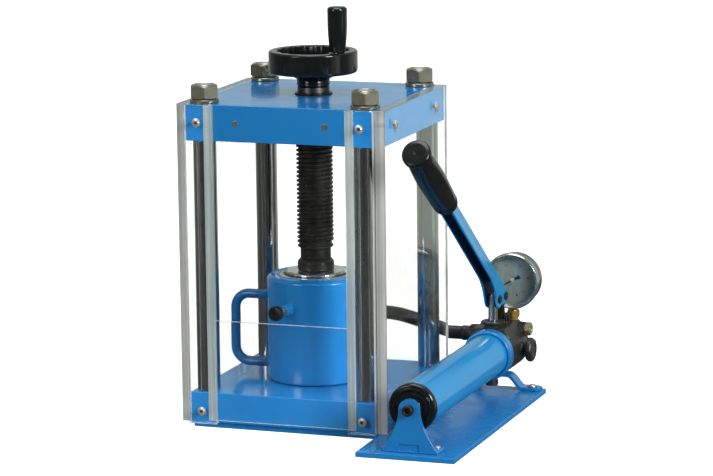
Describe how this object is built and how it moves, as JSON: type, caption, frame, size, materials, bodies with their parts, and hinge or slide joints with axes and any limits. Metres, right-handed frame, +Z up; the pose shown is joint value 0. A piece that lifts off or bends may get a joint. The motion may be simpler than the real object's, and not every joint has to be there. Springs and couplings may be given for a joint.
{
  "type": "laboratory hydraulic tablet press",
  "caption": "Bench hydraulic tablet press: column frame with clear guard, jack, lead screw with crank wheel, and a lever hand pump with gauge joined by a hose.",
  "frame": {"origin": "the press axis on the underside of the base plate", "axes": "+Z up along the lead screw, +X towards the hand pump, -Y towards the operator and the sliding door"},
  "size_m": [0.3495, 0.3865, 0.4723],
  "materials": {
    "blue_paint": "gloss",
    "chrome": "polished",
    "nickel": "satin nickel plate",
    "brushed_steel": "turned",
    "black_steel": "black oxide",
    "black_cast": "black enamel",
    "black_plastic": "gloss",
    "brass": "machined",
    "rubber": "matte",
    "acrylic": "clear",
    "glass": "clear",
    "dial_face": "printed"
  },
  "bodies": {
    "frame": {"base_plate": "blue_paint", "bottom_plate": "blue_paint", "bracket_bolt": "black_steel", "carry_handle": "blue_paint", "column_front_left": "chrome", "column_front_right": "chrome", "column_rear_left": "chrome", "column_rear_right": "chrome", "front_bracket": "blue_paint", "front_strip_left": "acrylic", "front_strip_right": "acrylic", "fulcrum_link": "black_steel", "gauge_case": "brushed_steel", "gauge_dial": "dial_face", "gauge_lens": "glass", "gauge_stem": "brass", "gland_ring": "blue_paint", "hose": "rubber", "jack_body": "blue_paint", "jack_coupler": "brushed_steel", "link_pin": "black_steel", "nut_front_left": "nickel", "nut_front_right": "nickel", "nut_rear_left": "nickel", "nut_rear_right": "nickel", "outlet_plug": "brass", "plunger_gland": "black_cast", "pump_coupler": "brushed_steel", "pump_head": "black_cast", "rear_foot": "blue_paint", "reservoir_cap": "black_plastic", "reservoir_ring": "blue_paint", "reservoir_tube": "blue_paint", "screw_bush": "brass", "side_panel_left": "acrylic", "side_panel_right": "acrylic", "strip_screw_left_bottom": "nickel", "strip_screw_left_top": "nickel", "strip_screw_right_bottom": "nickel", "strip_screw_right_top": "nickel", "top_plate": "blue_paint", "washer_front_left": "nickel", "washer_front_right": "nickel", "washer_rear_left": "nickel", "washer_rear_right": "nickel"},
    "door": {"front_door": "acrylic"},
    "pad": {"pressure_pad": "black_steel"},
    "screw": {"lead_screw": "black_steel", "handwheel": "black_plastic", "crank_pin": "brushed_steel"},
    "grip": {"crank_grip": "black_plastic"},
    "ram": {"ram": "chrome"},
    "bleed": {"bleed_screw": "black_plastic"},
    "lever": {"pump_lever": "blue_paint", "lever_grip": "black_plastic", "fulcrum_pin": "black_steel"},
    "plunger": {"plunger": "chrome", "plunger_pin": "black_steel"},
    "release": {"release_valve": "black_plastic"},
    "needle": {"gauge_needle": "black_steel"}
  },
  "joints": [
    {"name": "screw_lift", "type": "slide", "parent": "frame", "child": "pad", "axis": [0, 0, 1], "range_m": [0, 0.1251]},
    {"name": "screw_turn", "type": "hinge", "parent": "pad", "child": "screw", "pos_m": [0, 0, 0.3], "axis": [0, 0, 1], "range_deg": [0, 9000]},
    {"name": "grip_spin", "type": "hinge", "parent": "screw", "child": "grip", "pos_m": [0.035, -0.015, 0.42], "axis": [0, 0, 1], "continuous": true},
    {"name": "ram_lift", "type": "slide", "parent": "frame", "child": "ram", "axis": [0, 0, 1], "range_m": [0, 0.0201]},
    {"name": "door_slide", "type": "slide", "parent": "frame", "child": "door", "axis": [0, 0, 1], "range_m": [0, 0.24]},
    {"name": "lever_pump", "type": "hinge", "parent": "frame", "child": "lever", "pos_m": [0.1715, 0.154, 0.1165], "axis": [1, 0, 0], "range_deg": [-25, 26]},
    {"name": "plunger_stroke", "type": "slide", "parent": "frame", "child": "plunger", "axis": [0, 0, 1], "range_m": [-0.0108, 0.0104]},
    {"name": "release_turn", "type": "hinge", "parent": "frame", "child": "release", "pos_m": [0.2, 0.155, 0.0535], "axis": [1, 0, 0], "range_deg": [0, 540]},
    {"name": "bleed_turn", "type": "hinge", "parent": "frame", "child": "bleed", "pos_m": [-0.01457, -0.05438, 0.1293], "axis": [-0.2588, -0.9659, 0], "range_deg": [0, 540]},
    {"name": "needle_turn", "type": "hinge", "parent": "frame", "child": "needle", "pos_m": [0.1825, 0.1745, 0.1312], "axis": [0, 1, 0], "range_deg": [0, 255]}
  ],
  "couplings": [
    {"joint": "screw_lift", "follows": "screw_turn", "m_per_rad": 0.00079577},
    {"joint": "ram_lift", "follows": "screw_turn", "m_per_rad": 0.00012732},
    {"joint": "plunger_stroke", "follows": "lever_pump", "m_per_rad": -0.0235}
  ]
}
